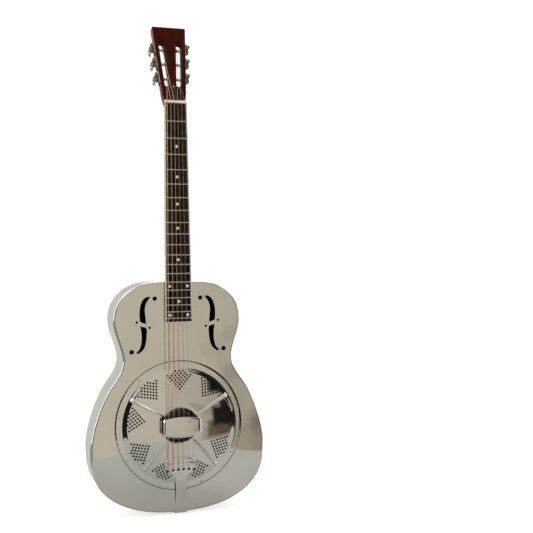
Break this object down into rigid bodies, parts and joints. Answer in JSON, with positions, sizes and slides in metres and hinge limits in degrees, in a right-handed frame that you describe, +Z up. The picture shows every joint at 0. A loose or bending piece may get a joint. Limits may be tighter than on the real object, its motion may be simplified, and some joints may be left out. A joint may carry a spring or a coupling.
{
  "type": "resonator guitar",
  "caption": "Acoustic guitar with a plated metal body, a spun metal cone under a pierced coverplate, and a slotted headstock with geared tuners.",
  "frame": {"origin": "on the neck's centreline at the nut's front edge, level with the outside of the top plate, where a wall hanger's yoke takes the headstock", "axes": "+Z up along the neck, +X to the right seen from the front, +Y from the strings to the back"},
  "size_m": [0.356, 0.121, 0.9955],
  "materials": {
    "plated_metal": "polished nickel plate",
    "spun_aluminium": "spun, satin",
    "maple": "oiled",
    "steel": "bright",
    "mahogany": "gloss lacquer",
    "rosewood": "oiled",
    "cream_binding": "polished",
    "bone": "polished",
    "black_plastic": "gloss",
    "brass": "aged",
    "chrome_hardware": "polished",
    "bronze_wound": "wound wire"
  },
  "bodies": {
    "guitar": {"top_plate": "plated_metal", "side_rim": "plated_metal", "back_plate": "plated_metal", "cone_well": "plated_metal", "coverplate": "plated_metal", "hand_rest": "plated_metal", "resonator_cone": "spun_aluminium", "biscuit": "maple", "saddle": "maple", "neck_stick": "maple", "biscuit_screw": "steel", "truss_rod": "steel", "string_5": "steel", "string_6": "steel", "neck": "mahogany", "fretboard": "rosewood", "board_binding": "cream_binding", "nut": "bone", "truss_rod_cover": "black_plastic", "tailpiece": "chrome_hardware", "end_pin": "chrome_hardware", "tuner_bracket_1": "chrome_hardware", "tuner_bracket_2": "chrome_hardware", "tuner_bracket_3": "chrome_hardware", "tuner_bracket_4": "chrome_hardware", "tuner_bracket_5": "chrome_hardware", "tuner_bracket_6": "chrome_hardware", "string_1": "bronze_wound", "string_2": "bronze_wound", "string_3": "bronze_wound", "string_4": "bronze_wound"},
    "tuner_1": {"worm_shaft_1": "brass", "tuner_button_1": "chrome_hardware"},
    "roller_1": {"roller_gear_1": "brass", "string_roller_1": "steel"},
    "tuner_2": {"worm_shaft_2": "brass", "tuner_button_2": "chrome_hardware"},
    "roller_2": {"roller_gear_2": "brass", "string_roller_2": "steel"},
    "tuner_3": {"worm_shaft_3": "brass", "tuner_button_3": "chrome_hardware"},
    "roller_3": {"roller_gear_3": "brass", "string_roller_3": "steel"},
    "tuner_4": {"worm_shaft_4": "brass", "tuner_button_4": "chrome_hardware"},
    "roller_4": {"roller_gear_4": "brass", "string_roller_4": "steel"},
    "tuner_5": {"worm_shaft_5": "brass", "tuner_button_5": "chrome_hardware"},
    "roller_5": {"roller_gear_5": "brass", "string_roller_5": "steel"},
    "tuner_6": {"worm_shaft_6": "brass", "tuner_button_6": "chrome_hardware"},
    "roller_6": {"roller_gear_6": "brass", "string_roller_6": "steel"},
    "truss_nut": {"truss_rod_nut": "brass"}
  },
  "joints": [
    {"name": "tuner_1_turn", "type": "hinge", "parent": "guitar", "child": "tuner_1", "pos_m": [-0.03294, 0.02418, 0.06026], "axis": [0, 0.9537, -0.3007], "continuous": true},
    {"name": "roller_1_turn", "type": "hinge", "parent": "guitar", "child": "roller_1", "pos_m": [-0.02711, 0.02189, 0.05299], "axis": [0.9977, 0.0204, 0.0646], "continuous": true},
    {"name": "tuner_2_turn", "type": "hinge", "parent": "guitar", "child": "tuner_2", "pos_m": [-0.03524, 0.0344, 0.09269], "axis": [0, 0.9537, -0.3007], "continuous": true},
    {"name": "roller_2_turn", "type": "hinge", "parent": "guitar", "child": "roller_2", "pos_m": [-0.02942, 0.03211, 0.08542], "axis": [0.9977, 0.0204, 0.0646], "continuous": true},
    {"name": "tuner_3_turn", "type": "hinge", "parent": "guitar", "child": "tuner_3", "pos_m": [-0.03748, 0.04433, 0.12416], "axis": [0, 0.9537, -0.3007], "continuous": true},
    {"name": "roller_3_turn", "type": "hinge", "parent": "guitar", "child": "roller_3", "pos_m": [-0.03166, 0.04203, 0.11689], "axis": [0.9977, 0.0204, 0.0646], "continuous": true},
    {"name": "tuner_4_turn", "type": "hinge", "parent": "guitar", "child": "tuner_4", "pos_m": [0.03748, 0.04433, 0.12416], "axis": [0, 0.9537, -0.3007], "continuous": true},
    {"name": "roller_4_turn", "type": "hinge", "parent": "guitar", "child": "roller_4", "pos_m": [0.03166, 0.04203, 0.11689], "axis": [0.9977, -0.0204, -0.0646], "continuous": true},
    {"name": "tuner_5_turn", "type": "hinge", "parent": "guitar", "child": "tuner_5", "pos_m": [0.03524, 0.0344, 0.09269], "axis": [0, 0.9537, -0.3007], "continuous": true},
    {"name": "roller_5_turn", "type": "hinge", "parent": "guitar", "child": "roller_5", "pos_m": [0.02942, 0.03211, 0.08542], "axis": [0.9977, -0.0204, -0.0646], "continuous": true},
    {"name": "tuner_6_turn", "type": "hinge", "parent": "guitar", "child": "tuner_6", "pos_m": [0.03294, 0.02418, 0.06026], "axis": [0, 0.9537, -0.3007], "continuous": true},
    {"name": "roller_6_turn", "type": "hinge", "parent": "guitar", "child": "roller_6", "pos_m": [0.02711, 0.02189, 0.05299], "axis": [0.9977, -0.0204, -0.0646], "continuous": true},
    {"name": "truss_nut_turn", "type": "hinge", "parent": "guitar", "child": "truss_nut", "pos_m": [0, 0.0034, 0.0098], "axis": [0, 0, 1], "range_deg": [-180, 180]}
  ],
  "couplings": [
    {"joint": "roller_1_turn", "follows": "tuner_1_turn", "ratio": 0.071429},
    {"joint": "roller_2_turn", "follows": "tuner_2_turn", "ratio": 0.071429},
    {"joint": "roller_3_turn", "follows": "tuner_3_turn", "ratio": 0.071429},
    {"joint": "roller_4_turn", "follows": "tuner_4_turn", "ratio": 0.071429},
    {"joint": "roller_5_turn", "follows": "tuner_5_turn", "ratio": 0.071429},
    {"joint": "roller_6_turn", "follows": "tuner_6_turn", "ratio": 0.071429}
  ]
}
